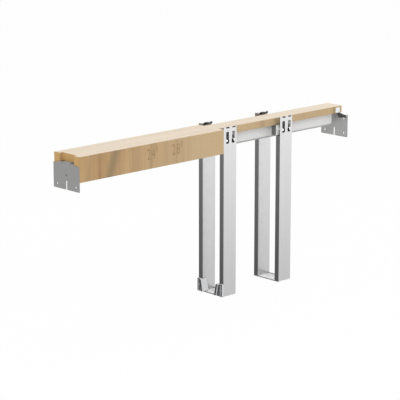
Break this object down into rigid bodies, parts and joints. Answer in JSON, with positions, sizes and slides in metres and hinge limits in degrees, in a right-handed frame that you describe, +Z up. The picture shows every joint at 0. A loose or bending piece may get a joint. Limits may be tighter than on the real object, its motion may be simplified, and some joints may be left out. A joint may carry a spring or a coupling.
{
  "type": "pocket door frame",
  "caption": "Frame that holds a sliding door inside a wall: timber header with a track below, nail plates at its ends, and slotted steel stud pairs on floor plates.",
  "frame": {"origin": "middle of the left end bracket's outer face, which is nailed to the wall's stud", "axes": "+X along the header from the door opening to the pocket's end, +Y from the front of the wall to its rear, +Z up"},
  "size_m": [0.921, 0.091, 0.432],
  "materials": {
    "plank_wood": "planed pine, unfinished",
    "fascia_wood": "planed pine, unfinished",
    "track_aluminium": "extruded, satin",
    "bracket_steel": "galvanised sheet, dull",
    "stud_steel": "galvanised sheet, bright",
    "spacer_steel": "galvanised sheet",
    "clip_steel": "galvanised sheet",
    "floor_plate_steel": "galvanised sheet, bright",
    "guide_plastic": "moulded, pale grey",
    "tab_plastic": "pale, bare"
  },
  "bodies": {
    "root": {"header_plank": "plank_wood", "front_fascia": "fascia_wood", "rear_fascia": "fascia_wood", "track": "track_aluminium", "left_end_bracket": "bracket_steel", "right_end_bracket": "bracket_steel", "mouth_front_stud": "stud_steel", "mouth_rear_stud": "stud_steel", "middle_front_stud": "stud_steel", "middle_rear_stud": "stud_steel", "mouth_front_spacer": "spacer_steel", "mouth_rear_spacer": "spacer_steel", "middle_front_spacer": "spacer_steel", "middle_rear_spacer": "spacer_steel", "mouth_front_clip": "clip_steel", "mouth_rear_clip": "clip_steel", "middle_front_clip": "clip_steel", "middle_rear_clip": "clip_steel", "mouth_floor_plate": "floor_plate_steel", "middle_floor_plate": "floor_plate_steel", "front_door_guide": "guide_plastic", "rear_door_guide": "guide_plastic", "edge_tab": "tab_plastic"}
  },
  "joints": []
}
